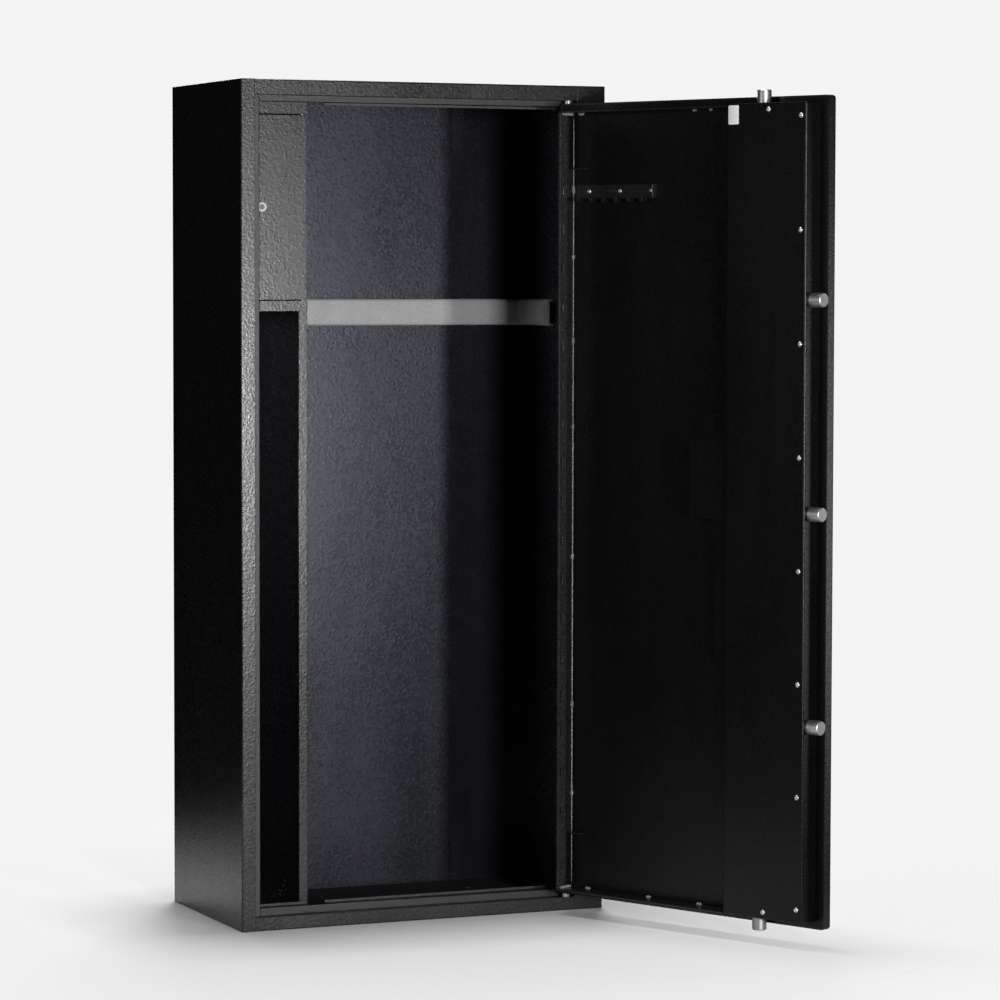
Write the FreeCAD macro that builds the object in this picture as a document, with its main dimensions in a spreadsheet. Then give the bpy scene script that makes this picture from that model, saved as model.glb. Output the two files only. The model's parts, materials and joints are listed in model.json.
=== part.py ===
import FreeCAD, Part
import math
import os
import re

# A steel gun safe with its door open. Millimetres, +Z up, +X to the hinge side.
# The origin is the centre of the cabinet's base. The front faces -Y.
# Depths written below are measured back from the front face of the cabinet.
# Everything on the door is drawn with the door shut, then swung open about the hinge.

os.makedirs("parts", exist_ok=True)
doc = FreeCAD.newDocument("gun_safe")

SIZES = dict(
    # cabinet
    width=700, height=1500, depth=370, sheet=3,
    flange=26, flange_hinge=55.5, flange_top=27, flange_bottom=24,
    rebate=23, lip=17, lip_hinge=13.5, lip_top=11, lip_bottom=13, lip_return=22, hem=4,
    anchor_radius=7, anchor_inset=150, anchor_front=110, anchor_back=270,
    # door leaf
    open_angle=114.5, hinge_x=280, hinge_depth=8, pin_radius=4,
    door_left=-321, door_right=292, door_low=32, door_high=1467,
    leaf=21, skin=3, inner_skin=1.5, hinge_fold=15, step_x=284, edge_round=5,
    rim_depth=60, rim_wall=3, rim_top=1452, rim_low=44, rim_hinge=258,
    bar_depth=40, bar_wall=5, pocket_low=51, pocket_length=95, pocket_depth=33,
    bar_slot_pitch=70, bar_slot_start=190,
    # lock cover
    cover_left=-302, cover_right=-129, cover_low=45, cover_high=1455, cover_sheet=2,
    # boltwork
    bolt_radius=12.5, bolt_depth=40, bolt_tip=-327, bolt_middle=751, bolt_spacing=366.5,
    bar_x=-268, bar_thick=6, rod_x=-195, top_tip=1478, bottom_tip=22,
    gear_x=-195, gear_z=805, gear_module=2.5, key_x=-80, key_module=1.5,
    # lockable inner box
    box_front=75, box_right=-198, box_low=1094, box_sill=1112, box_head=1443,
    box_sheet=2, box_door_left=-298, box_door_right=-199, box_pin_x=-206, box_pin_depth=81,
    cam_x=-284, cam_z=1278,
    # padded barrel rest
    rest_low=1064, rest_high=1113, rest_thick=20, rest_side_front=221,
)

sheet = doc.addObject("Spreadsheet::Sheet", "dims")
for row, (alias, size) in enumerate(SIZES.items(), start=1):
    sheet.set(f"A{row}", alias)
    sheet.set(f"B{row}", str(size))
    sheet.setAlias(f"B{row}", alias)
doc.recompute()


def bound(text):
    """An expression with each named size read from the sheet."""
    return re.sub(r"[a-z_]+", lambda m: "dims." + m[0] if m[0] in SIZES else m[0], str(text))


def number(text):
    """The value of an expression."""
    return FreeCAD.Units.Quantity(re.sub(r"[a-z_]+", lambda m: f"({SIZES[m[0]]})", str(text))).Value


def place(obj, x, y, z):
    """Bind a position; y is a depth back from the cabinet's front face."""
    obj.setExpression("Placement.Base.x", bound(x))
    obj.setExpression("Placement.Base.y", bound(f"({y}) - depth / 2"))
    obj.setExpression("Placement.Base.z", bound(z))


def block(x, y, z):
    """A box between pairs of bounds."""
    obj = doc.addObject("Part::Box", "block")
    for side, (low, high) in (("Length", x), ("Width", y), ("Height", z)):
        obj.setExpression(side, bound(f"({high}) - ({low})"))
    place(obj, x[0], y[0], z[0])
    return obj


def rod(along, radius, x, y, z):
    """A cylinder lying along x, y or z; the bounds on that axis are a pair."""
    obj = doc.addObject("Part::Cylinder", "rod")
    at = {"x": x, "y": y, "z": z}
    low, high = at[along]
    obj.setExpression("Radius", bound(radius))
    obj.setExpression("Height", bound(f"({high}) - ({low})"))
    at[along] = low
    turn = {"x": ((0, 1, 0), 90), "y": ((1, 0, 0), -90), "z": ((0, 0, 1), 0)}[along]
    obj.Placement = FreeCAD.Placement(
        FreeCAD.Vector(), FreeCAD.Rotation(FreeCAD.Vector(*turn[0]), turn[1]))
    place(obj, at["x"], at["y"], at["z"])
    return obj


def ring(along, outer, inner, x, y, z):
    """A tube lying along one axis."""
    return cut(rod(along, outer, x, y, z), rod(along, inner, x, y, z))


def fuse(*shapes):
    obj = doc.addObject("Part::MultiFuse", "fuse")
    obj.Shapes = list(shapes)
    obj.Refine = True
    return obj


def cut(base, *tools):
    obj = doc.addObject("Part::Cut", "cut")
    obj.Base = base
    obj.Tool = tools[0] if len(tools) == 1 else group(*tools)
    return obj


def group(*shapes):
    obj = doc.addObject("Part::Compound", "group")
    obj.Links = list(shapes)
    return obj


def soften(base, radius, wanted, chamfer=False):
    """Round or chamfer the edges whose middle point and direction pass a test."""
    doc.recompute()
    obj = doc.addObject("Part::Chamfer" if chamfer else "Part::Fillet", "soft")
    obj.Base = base
    chosen = []
    for index, edge in enumerate(base.Shape.Edges, start=1):
        middle = edge.valueAt((edge.FirstParameter + edge.LastParameter) / 2)
        depth = middle.y + number("depth") / 2
        if wanted(edge, middle.x, depth, middle.z):
            chosen.append((index, radius, radius))
    obj.Edges = chosen
    return obj


def straight(edge, axis):
    """Is this edge a line along x, y or z?"""
    if edge.Curve.TypeId != "Part::GeomLine":
        return False
    return abs(getattr(edge.Curve.Direction, axis)) > 0.999


def near(value, target):
    return abs(value - number(target)) < 0.01


hinge = FreeCAD.Vector(number("hinge_x"), number("hinge_depth - depth / 2"), 0)
SWING = FreeCAD.Placement(
    FreeCAD.Vector(), FreeCAD.Rotation(FreeCAD.Vector(0, 0, 1), SIZES["open_angle"]), hinge)
nodes = []


def node(name, *shapes, on_door=False):
    """One exported piece, holding one solid or a set of alike solids."""
    obj = group(*shapes)
    obj.Label = name
    if on_door:
        obj.Placement = SWING
    nodes.append(obj)
    return obj


def door(name, *shapes):
    return node(name, *shapes, on_door=True)


def toothed(points, low, high):
    """A flat outline in the x-z plane, extruded back between two depths."""
    wire = Part.makePolygon([FreeCAD.Vector(x, 0, z) for x, z in points + points[:1]])
    outline = doc.addObject("Part::Feature", "outline")
    outline.Shape = Part.Face(wire)
    obj = doc.addObject("Part::Extrusion", "toothed")
    obj.Base = outline
    obj.DirMode = "Custom"
    obj.Dir = FreeCAD.Vector(0, 1, 0)
    obj.Solid = True
    obj.setExpression("LengthFwd", bound(f"({high}) - ({low})"))
    place(obj, 0, low, 0)
    return obj


# Gear teeth: 30 degree flanks, thinned a little so a rack and its pinion never touch.
FLANK, THIN, ADDENDUM, DEDENDUM = math.radians(30), 0.1, 0.9, 1.15


def pinion_outline(module, teeth, x, z):
    """An involute pinion with one tooth pointing straight up."""
    pitch = module * teeth / 2
    base = pitch * math.cos(FLANK)
    radii = [base + (pitch + ADDENDUM * module - base) * step / 5 for step in range(6)]
    half_pitch = math.pi / (2 * teeth) - THIN / pitch + math.tan(FLANK) - FLANK
    flank = [(pitch - DEDENDUM * module, half_pitch)]
    for radius in radii:
        angle = math.acos(min(1, base / radius))
        flank.append((radius, half_pitch - (math.tan(angle) - angle)))
    points = []
    for tooth in range(teeth):
        centre = 2 * math.pi * tooth / teeth
        for radius, half in [(r, -h) for r, h in flank] + list(reversed(flank)):
            a = centre + half
            points.append((x + radius * math.sin(a), z + radius * math.cos(a)))
    return points


def rack_outline(module, first, last, back, turn, x, z):
    """A rack beside a pinion centred on (x, z). At turn 0 it lies above the pinion.

    first and last number the tooth gaps; gap 0 faces the pinion's centre.
    """
    teeth = {2.5: 12, 1.5: 10}[module]
    pitch_line = module * teeth / 2
    step = math.pi * module
    top = [(last + 0.5) * step, (first - 0.5) * step]
    outline = [(top[1], pitch_line + back), (top[0], pitch_line + back)]
    line = []
    for gap in range(first, last + 1):
        for side, height in ((-1, -1), (-1, 1), (1, 1), (1, -1)):
            level = -ADDENDUM * module if height < 0 else DEDENDUM * module
            half = step / 4 + THIN - level * math.tan(FLANK)
            line.append((gap * step + side * half, pitch_line + level))
    line = [(top[1], line[0][1])] + line + [(top[0], line[-1][1])]
    outline = outline + list(reversed(line))
    c, s = math.cos(turn), math.sin(turn)
    return [(x + u * c + w * s, z - u * s + w * c) for u, w in outline]


# ---------------------------------------------------------------- cabinet
outer_l, outer_r = "-width / 2", "width / 2"
open_l, open_r = "-width / 2 + flange", "width / 2 - flange_hinge"
open_low, open_high = "flange_bottom", "height - flange_top"


def outer_corner(edge, x, depth, z):
    return straight(edge, "z") and near(depth, 0) and near(abs(x), "width / 2")


left_wall = fuse(
    block((outer_l, f"{outer_l} + sheet"), (0, "depth - sheet"), (0, "height")),
    block((outer_l, open_l), (0, "sheet"), (0, "height")))
node("side_wall_left", soften(left_wall, 2.5, outer_corner))
right_wall = fuse(
    block((f"{outer_r} - sheet", outer_r), (0, "depth - sheet"), (0, "height")),
    block((open_r, outer_r), (0, "sheet"), (0, "height")))
node("side_wall_right", soften(right_wall, 2.5, outer_corner))

inner_x = (f"{outer_l} + sheet", f"{outer_r} - sheet")
top_wall = fuse(
    block(inner_x, ("sheet", "depth - sheet"), ("height - sheet", "height")),
    block((open_l, open_r), (0, "sheet"), (open_high, "height")))
node("top_wall", soften(top_wall, 2.5, lambda e, x, d, z:
     straight(e, "x") and near(d, 0) and near(z, "height")))


def floor_anchors(radius):
    """The four anchor holes in the floor."""
    return [rod("z", radius, f"{side} * (width / 2 - anchor_inset)", depth, ("-1", "sheet + 10"))
            for side in (-1, 1) for depth in ("anchor_front", "anchor_back")]


bottom_wall = fuse(
    block(inner_x, ("sheet", "depth - sheet"), (0, "sheet")),
    block((open_l, open_r), (0, "sheet"), (0, open_low)))
bottom_wall = soften(bottom_wall, 2.5, lambda e, x, d, z:
                     straight(e, "x") and near(d, 0) and near(z, 0))
node("bottom_wall", cut(bottom_wall, *floor_anchors("anchor_radius")))
node("back_panel", block((outer_l, outer_r), ("depth - sheet", "depth"), (0, "height")))

# Stepped frame round the doorway: a rebate wall, a stop lip and a return, which ends in a
# small hem at the top and the bottom.
lip_back = "rebate + sheet"
return_back = "rebate + lip_return"
lip_l, lip_r = f"{open_l} + lip", f"{open_r} - lip_hinge"
lip_low, lip_high = f"{open_low} + lip_bottom", f"{open_high} - lip_top"

bolt_levels = [f"bolt_middle + ({n}) * bolt_spacing" for n in (-1, 0, 1)]
side_slots = [block((f"{lip_l} - sheet - 1", f"{lip_l} + 1"), (lip_back, f"{return_back} + 1"),
                    (f"{level} - 17", f"{level} + 17")) for level in bolt_levels]
left_frame = fuse(
    block((f"{open_l} - sheet", open_l), ("sheet", lip_back), (open_low, open_high)),
    block((open_l, lip_l), ("rebate", lip_back), (open_low, open_high)),
    block((f"{lip_l} - sheet", lip_l), (lip_back, return_back), (lip_low, lip_high)))
node("frame_left", soften(cut(left_frame, *side_slots), 1.5, lambda e, x, d, z:
     straight(e, "z") and near(x, lip_l) and near(d, "rebate")))

right_frame = fuse(
    block((open_r, f"{open_r} + sheet"), ("sheet", lip_back), (open_low, open_high)),
    block((lip_r, open_r), ("rebate", lip_back), (open_low, open_high)),
    block((lip_r, f"{lip_r} + sheet"), (lip_back, return_back), (lip_low, lip_high)))
node("frame_right", soften(right_frame, 1.5, lambda e, x, d, z:
     straight(e, "z") and near(x, lip_r) and near(d, "rebate")))

rod_slot_x = ("rod_x - 17", "rod_x + 17")
pin_hole = rod("z", "pin_radius", "hinge_x", "hinge_depth", (f"{open_high} - 1", f"{open_high} + 9"))
top_frame = fuse(
    block((open_l, open_r), ("sheet", lip_back), (open_high, f"{open_high} + sheet")),
    block((lip_l, lip_r), ("rebate", lip_back), (lip_high, open_high)),
    block((lip_l, lip_r), (lip_back, return_back), (lip_high, f"{lip_high} + sheet")),
    block((lip_l, lip_r), (f"{return_back} - sheet", return_back),
          (f"{lip_high} - hem", lip_high)))
top_frame = cut(top_frame, pin_hole, block(
    rod_slot_x, (lip_back, f"{return_back} + 1"), (f"{lip_high} - hem - 1", f"{lip_high} + 4")))
node("frame_top", soften(top_frame, 1.5, lambda e, x, d, z:
     straight(e, "x") and near(z, lip_high) and near(d, "rebate")))

pin_hole = rod("z", "pin_radius", "hinge_x", "hinge_depth", (f"{open_low} - 9", f"{open_low} + 1"))
bottom_frame = fuse(
    block((open_l, open_r), ("sheet", lip_back), (f"{open_low} - sheet", open_low)),
    block((lip_l, lip_r), ("rebate", lip_back), (open_low, lip_low)),
    block((lip_l, lip_r), (lip_back, return_back), (f"{lip_low} - sheet", lip_low)),
    block((lip_l, lip_r), (f"{return_back} - sheet", return_back),
          (lip_low, f"{lip_low} + hem")))
bottom_frame = cut(bottom_frame, pin_hole, block(
    rod_slot_x, (lip_back, f"{return_back} + 1"), (f"{lip_low} - 4", f"{lip_low} + hem + 1")))
node("frame_bottom", soften(bottom_frame, 1.5, lambda e, x, d, z:
     straight(e, "x") and near(z, lip_low) and near(d, "rebate")))

# Hinge pins stand in the frame; each has a thrust collar and a bracket behind the rebate wall.
pin_at = ("hinge_x", "hinge_depth")
node("hinge_pins",
     fuse(rod("z", "pin_radius", *pin_at, ("door_high - 26", f"{open_high} + sheet + 6")),
          rod("z", "7.5", *pin_at, ("door_high + 0.4", open_high))),
     fuse(rod("z", "pin_radius", *pin_at, (f"{open_low} - sheet - 6", "door_low + 26")),
          rod("z", "7.5", *pin_at, (open_low, "door_low - 0.3"))))


def hinge_bracket(low, high):
    return cut(block((f"{open_r} - 36", open_r), ("sheet", "rebate - 1"), (low, high)),
               rod("z", "pin_radius", *pin_at, (f"{low} - 1", f"{high} + 1")))


node("hinge_brackets",
     hinge_bracket(f"{open_high} + sheet", f"{open_high} + sheet + 8"),
     hinge_bracket(f"{open_low} - sheet - 8", f"{open_low} - sheet"))

# ---------------------------------------------------------------- inside the cabinet
inside_back = "depth - sheet"
inside_l, inside_r = inner_x
box_x = (inside_l, "box_right")
node("inner_box_floor", block(box_x, ("box_front + box_sheet", inside_back),
                              ("box_low", "box_low + box_sheet")))
node("inner_box_side", block(("box_right - box_sheet", "box_right"),
                             ("box_front + 14", inside_back),
                             ("box_low + box_sheet", "height - sheet")))


def pin_through(level):
    return rod("z", "2.46", "box_pin_x", "box_pin_depth", (f"{level} - 8", f"{level} + 8"))


fold_back = ("box_front + box_sheet", "box_front + 14")
node("inner_box_header", cut(fuse(
    block(box_x, ("box_front", "box_front + box_sheet"), ("box_head", "height - sheet")),
    block(box_x, fold_back, ("box_head", "box_head + box_sheet"))), pin_through("box_head")))
node("inner_box_sill", cut(fuse(
    block(box_x, ("box_front", "box_front + box_sheet"), ("box_low", "box_sill")),
    block(box_x, fold_back, ("box_sill - box_sheet", "box_sill"))), pin_through("box_sill")))
stile_x = "box_door_left - 1.5"
node("inner_box_stile", fuse(
    block((inside_l, stile_x), ("box_front", "box_front + box_sheet"), ("box_sill", "box_head")),
    block((f"{stile_x} - box_sheet", stile_x), ("box_front + box_sheet", "box_front + 20"),
          ("box_sill", "box_head"))))
node("inner_box_pins",
     rod("z", "2.4", "box_pin_x", "box_pin_depth", ("box_head - 6", "box_head + 5")),
     rod("z", "2.4", "box_pin_x", "box_pin_depth", ("box_sill - 5", "box_sill + 6")))

divider = fuse(
    block(("box_right - box_sheet", "box_right"), ("box_front", inside_back), ("sheet", "box_low")),
    block(("box_right - 17", "box_right"), ("box_front", "box_front + box_sheet"),
          ("sheet", "box_low")),
    block(("box_right - 17", "box_right - 15"), ("box_front", "box_front + 10"),
          ("sheet", "box_low")))
node("vertical_divider", soften(divider, 1, lambda e, x, d, z:
     straight(e, "z") and near(d, "box_front")))

# Barrel rest: a steel strip with a padded face along the back wall and round the right wall.
rest_z = ("rest_low", "rest_high")
inset_z = ("rest_low + 4", "rest_high - 4")
pad_front = f"{inside_back} - rest_thick"
node("barrel_rest_strip",
     block(("box_right", inside_r), (f"{inside_back} - 6", inside_back), inset_z),
     block((f"{inside_r} - 6", inside_r), ("rest_side_front + 3", pad_front), inset_z))
back_pad = cut(
    block(("box_right", inside_r), (pad_front, inside_back), rest_z),
    block(("box_right - 1", f"{inside_r} + 1"), (f"{inside_back} - 6", f"{inside_back} + 1"),
          inset_z))
side_pad = cut(
    block((f"{inside_r} - rest_thick", inside_r), ("rest_side_front", pad_front), rest_z),
    block((f"{inside_r} - 6", f"{inside_r} + 1"), ("rest_side_front + 3", f"{pad_front} + 1"),
          inset_z))
node("barrel_rest_pad",
     soften(back_pad, 4, lambda e, x, d, z: straight(e, "x") and near(d, pad_front)),
     soften(side_pad, 4, lambda e, x, d, z:
            straight(e, "y") and near(x, f"{inside_r} - rest_thick")))
node("floor_mat", cut(
    block(("box_right + 2", f"{inside_r} - 2"), (f"{return_back} + 4", f"{inside_back} - 2"),
          ("sheet", "sheet + 4")),
    *floor_anchors("anchor_radius + 2")))

# ---------------------------------------------------------------- inner box door
folded_edge = ("box_front", "box_front + 12")
box_door = cut(
    block(("box_door_left", "box_door_right"), folded_edge, ("box_sill + 1.5", "box_head - 1.5")),
    block(("box_door_left + box_sheet", "box_door_right - box_sheet"),
          ("box_front + box_sheet", "box_front + 13"), ("box_sill + 3.5", "box_head - 3.5")),
    pin_through("box_head - 4"), pin_through("box_sill + 4"),
    rod("y", "6.5", "cam_x", ("box_front - 1", "box_front + 4"), "cam_z"))
node("inner_box_door", soften(box_door, 1, lambda e, x, d, z: near(d, "box_front")
     and (near(x, "box_door_left") or near(x, "box_door_right")
          or near(z, "box_sill + 1.5") or near(z, "box_head - 1.5"))))
cam_at = dict(x="cam_x", z="cam_z")


def cam_rod(radius, low, high):
    return rod("y", radius, "cam_x", (f"box_front + ({low})", f"box_front + ({high})"), "cam_z")


node("cam_lock_case", soften(cut(fuse(cam_rod(8.5, -2.5, 0), cam_rod(6.5, 0, 18)),
                                 cam_rod(4.6, -4, 20)), 0.8, lambda e, x, d, z:
                             near(d, "box_front - 2.5")))
cam_blade = block(("cam_x - 6", "cam_x + 6"), ("box_front + 21", "box_front + 23.5"),
                  ("cam_z - 7", "cam_z + 27"))
node("cam_lock_plug", cut(
    fuse(cam_rod(4.5, -2, 24.5), cam_blade),
    block(("cam_x - 0.7", "cam_x + 0.7"), ("box_front - 3", "box_front + 1"),
          ("cam_z - 2.8", "cam_z + 2.8"))))

# ---------------------------------------------------------------- door leaf
leaf_z = ("door_low", "door_high")
leaf_solid = block(("door_left", "door_right"), (0, "leaf"), leaf_z)


def outer_edge(edge, x, depth, z):
    return near(depth, 0)


def corner_edge(edge, x, depth, z):
    return straight(edge, "y")


leaf_solid = soften(soften(leaf_solid, 6, corner_edge), SIZES["edge_round"], outer_edge)
pan = cut(
    leaf_solid,
    block(("step_x", "door_right + 1"), ("hinge_fold", "leaf + 1"), ("door_low - 1", "door_high + 1")),
    block(("door_left + skin", "step_x - skin"), ("skin", "leaf + 1"),
          ("door_low + skin", "door_high - skin")),
    block(("step_x - skin", "door_right - skin"), ("skin", "hinge_fold - 2.5"),
          ("door_low + skin", "door_high - skin")),
    rod("z", "pin_radius + 0.1", *pin_at, ("door_low - 1", "door_high + 1")),
    rod("y", "6.1", "gear_x", ("-1", "skin + 1"), "gear_z"),
    rod("y", "8.06", "key_x", ("-1", "skin + 1"), "gear_z"))
door("door_outer_skin", pan)
sheet_front = "leaf - inner_skin"
door("door_inner_sheet", cut(
    block(("door_left + skin + 0.1", "step_x - skin - 0.1"), (sheet_front, "leaf"),
          ("door_low + skin + 0.1", "door_high - skin - 0.1")),
    rod("y", "12.2", "gear_x", ("0", "leaf + 1"), "gear_z"),
    rod("y", "8.06", "key_x", ("0", "leaf + 1"), "gear_z")))


def stiffener(x):
    """A channel that ties the two sheets of the leaf together."""
    return cut(block((f"{x} - 15", f"{x} + 15"), ("skin", sheet_front),
                     ("door_low + 40", "door_high - 40")),
               block((f"{x} - 13.5", f"{x} + 13.5"), ("skin - 1", f"{sheet_front} - 1.5"),
                     ("door_low + 39", "door_high - 39")))


door("door_stiffeners", *[stiffener(x) for x in (-255, -10, 120, 225)])
door("door_hard_plate", cut(
    block(("-235", "-45"), ("skin", "skin + 4"), ("gear_z - 60", "gear_z + 60")),
    rod("y", "12.2", "gear_x", ("0", "20"), "gear_z"),
    rod("y", "8.06", "key_x", ("0", "20"), "gear_z")))


def hinge_bush(low, high):
    body = fuse(
        block(("hinge_x - 16", "step_x - skin - 0.1"), ("skin", f"{sheet_front}"), (low, high)),
        block(("step_x - skin - 0.1", "door_right - skin"), ("skin", "hinge_fold - 2.5"),
              (low, high)))
    return cut(body, rod("z", "pin_radius + 0.06", *pin_at, (f"{low} - 1", f"{high} + 1")))


door("hinge_bushes", hinge_bush("door_low + skin", "door_low + skin + 28"),
     hinge_bush("door_high - skin - 28", "door_high - skin"))

# Rims stand up round the inner face of the leaf and enter the doorway when it shuts.
rim_y = ("leaf", "rim_depth")
rim_x = ("cover_right + 0.5", "rim_hinge")
door("door_rims", block(rim_x, rim_y, ("rim_top - rim_wall", "rim_top")),
     block(rim_x, rim_y, ("rim_low", "rim_low + rim_wall")))
pocket_top = "rim_top - rim_wall - 3 - pocket_length"
hinge_wall_x = ("rim_hinge - rim_wall", "rim_hinge")
between_rims = ("rim_low + rim_wall", "rim_top - rim_wall")
door("door_rim_hinge_side", cut(
    block(hinge_wall_x, ("leaf", "bar_depth"), between_rims),
    block(("rim_hinge - 10", "rim_hinge + 5"), ("leaf - 1", "pocket_depth"),
          ("pocket_low", "pocket_low + pocket_length")),
    block(("rim_hinge - 10", "rim_hinge + 5"), ("leaf - 1", "pocket_depth"),
          (pocket_top, f"{pocket_top} + pocket_length"))))
hinge_bar = block(("rim_hinge - bar_wall", "rim_hinge"), ("bar_depth", "rim_depth"), between_rims)
bar_slots = [block(("rim_hinge - 10", "rim_hinge + 5"), ("rim_depth - 9", "rim_depth - 5"),
                   (f"bar_slot_start + {n} * bar_slot_pitch - 8",
                    f"bar_slot_start + {n} * bar_slot_pitch + 8")) for n in range(17)]
door("hinge_side_bar", cut(hinge_bar, *bar_slots))
plate_x, plate_y = ("rim_hinge - 38", "rim_hinge - rim_wall"), ("leaf", "leaf + 14")
door("hinge_pocket_plates",
     block(plate_x, plate_y, ("pocket_low + pocket_length", "pocket_low + pocket_length + 3")),
     block(plate_x, plate_y, (f"{pocket_top} - 3", pocket_top)))

# ---------------------------------------------------------------- lock cover
cover_x, cover_z = ("cover_left", "cover_right"), ("cover_low", "cover_high")


def within(bounds, inset):
    return (f"{bounds[0]} + {inset}", f"{bounds[1]} - {inset}")


case_z = ("734", "874")
duct_z = ("497", "734")
cover_screw_z = [f"69 + {n} * 194.6" for n in range(8)]
screw_spots = [("cover_left + 11.5", z) for z in cover_screw_z]
screw_spots += [("-220", "cover_high - 12"), ("-218", "cover_low + 12")]
cover = soften(cut(
    block(cover_x, rim_y, cover_z),
    block(within(cover_x, "cover_sheet"), ("leaf - 1", "rim_depth - cover_sheet"),
          within(cover_z, "cover_sheet"))), 3, lambda e, x, d, z:
    near(d, "rim_depth") or (straight(e, "y") and d > number("leaf") + 1
                             and (near(x, "cover_left") or near(x, "cover_right"))))
hole = "bolt_radius + 0.7"
door("lock_cover", cut(
    cover,
    *[rod("x", hole, ("cover_left - 1", "cover_left + 5"), "bolt_depth", level)
      for level in bolt_levels],
    rod("z", hole, "rod_x", "bolt_depth", ("cover_high - 5", "cover_high + 1")),
    rod("z", hole, "rod_x", "bolt_depth", ("cover_low - 1", "cover_low + 5")),
    block(("cover_right - 3", "cover_right + 1"), ("leaf - 1", "51"),
          (f"{case_z[0]} - 1", f"{case_z[1]} + 1")),
    block(("cover_right - 3", "cover_right + 1"), ("leaf - 1", "43"),
          (f"{duct_z[0]} - 1", f"{duct_z[1]} + 1")),
    *[rod("y", "2.1", x, ("rim_depth - 4", "rim_depth + 1"), z) for x, z in screw_spots]))


def cover_screw(x, z):
    head = soften(rod("y", "4.5", x, ("rim_depth", "rim_depth + 2.4"), z), 1.6,
                  lambda e, ex, d, ez: near(d, "rim_depth + 2.4"))
    return fuse(head, rod("y", "2", x, ("rim_depth - 8", "rim_depth"), z))


door("cover_screws", *[cover_screw(x, z) for x, z in screw_spots])
door("blank_label", block(("cover_right - 26", "cover_right - 3.2"), ("rim_depth", "rim_depth + 0.3"),
                          ("cover_high - 36", "cover_high - 3.2")))

# Rail behind the cover's edge: carries the bolt guides and takes the cover screws.
rail_x = ("cover_left + cover_sheet + 0.5", "cover_left + cover_sheet + 3.5")
rail_flange = ("cover_left + cover_sheet + 0.5", "cover_left + 24")
rail_z = ("cover_low + 4", "cover_high - 4")
rail = fuse(
    block(rail_x, ("leaf", "rim_depth - cover_sheet"), rail_z),
    block(rail_flange, ("rim_depth - cover_sheet - 3", "rim_depth - cover_sheet"), rail_z))
door("lock_side_rail", cut(
    rail,
    *[rod("x", hole, ("cover_left", "cover_left + 10"), "bolt_depth", level)
      for level in bolt_levels],
    *[rod("y", "2.1", x, ("rim_depth - 9", "rim_depth + 1"), z) for x, z in screw_spots[:8]]))


def cover_tab(screw_x, screw_z, z):
    """An angle welded to the leaf that holds one end of the cover."""
    return cut(fuse(
        block(("-250", f"{screw_x} + 7"), ("rim_depth - 5", "rim_depth - 2"), z),
        block(("-250", "-247"), ("leaf", "rim_depth - 5"), z)),
        rod("y", "2.1", screw_x, ("rim_depth - 9", "rim_depth + 1"), screw_z))


door("cover_tabs",
     cover_tab(*screw_spots[8], ("cover_high - 20", "cover_high - 4")),
     cover_tab(*screw_spots[9], ("cover_low + 4", "cover_low + 20")))

# ---------------------------------------------------------------- boltwork
running = "bolt_radius + 0.08"
guide_x = ("cover_left + 6", "cover_left + 20")
door("side_bolt_guides", *[cut(
    block(guide_x, ("leaf", "rim_depth - 6"), (f"{level} - 20", f"{level} + 20")),
    rod("x", running, ("cover_left", "cover_left + 30"), "bolt_depth", level))
    for level in bolt_levels])
door("rod_bolt_guides",
     cut(block(("rod_x - 20", "rod_x + 20"), ("leaf", "rim_depth - 6"),
               ("cover_high - 38", "cover_high - 24")),
         rod("z", running, "rod_x", "bolt_depth", ("cover_high - 50", "cover_high"))),
     cut(block(("rod_x - 20", "rod_x + 20"), ("leaf", "rim_depth - 6"),
               ("cover_low + 24", "cover_low + 38")),
         rod("z", running, "rod_x", "bolt_depth", ("cover_low", "cover_low + 50"))))


def tip_edge(axis, tip):
    def wanted(edge, x, depth, z):
        return near({"x": x, "z": z}[axis], tip)
    return wanted


door("side_bolts", *[soften(
    rod("x", "bolt_radius", ("bolt_tip", "bar_x"), "bolt_depth", level), 1.2,
    lambda e, x, d, z: x < number("bolt_tip + 0.01"), chamfer=True) for level in bolt_levels])
rack_front, rack_back = "24", "31"
lift_front, lift_back = "34", "41"
side_rack = toothed(rack_outline(2.5, -5, 2, 12, 0, SIZES["gear_x"], SIZES["gear_z"]),
                    rack_front, rack_back)
door("side_bolt_bar", fuse(
    block(("bar_x", "bar_x + bar_thick"), ("bolt_depth - 13", "bolt_depth + 13"),
          ("bolt_middle - bolt_spacing - 45", "bolt_middle + bolt_spacing + 45")),
    block(("bar_x + bar_thick", "gear_x - 40"), (rack_front, rack_back),
          ("gear_z + 18.5", "gear_z + 27")),
    block(("bar_x", "bar_x + bar_thick"), (rack_front, "bolt_depth"),
          ("gear_z + 12", "gear_z + 34")),
    side_rack))

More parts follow.
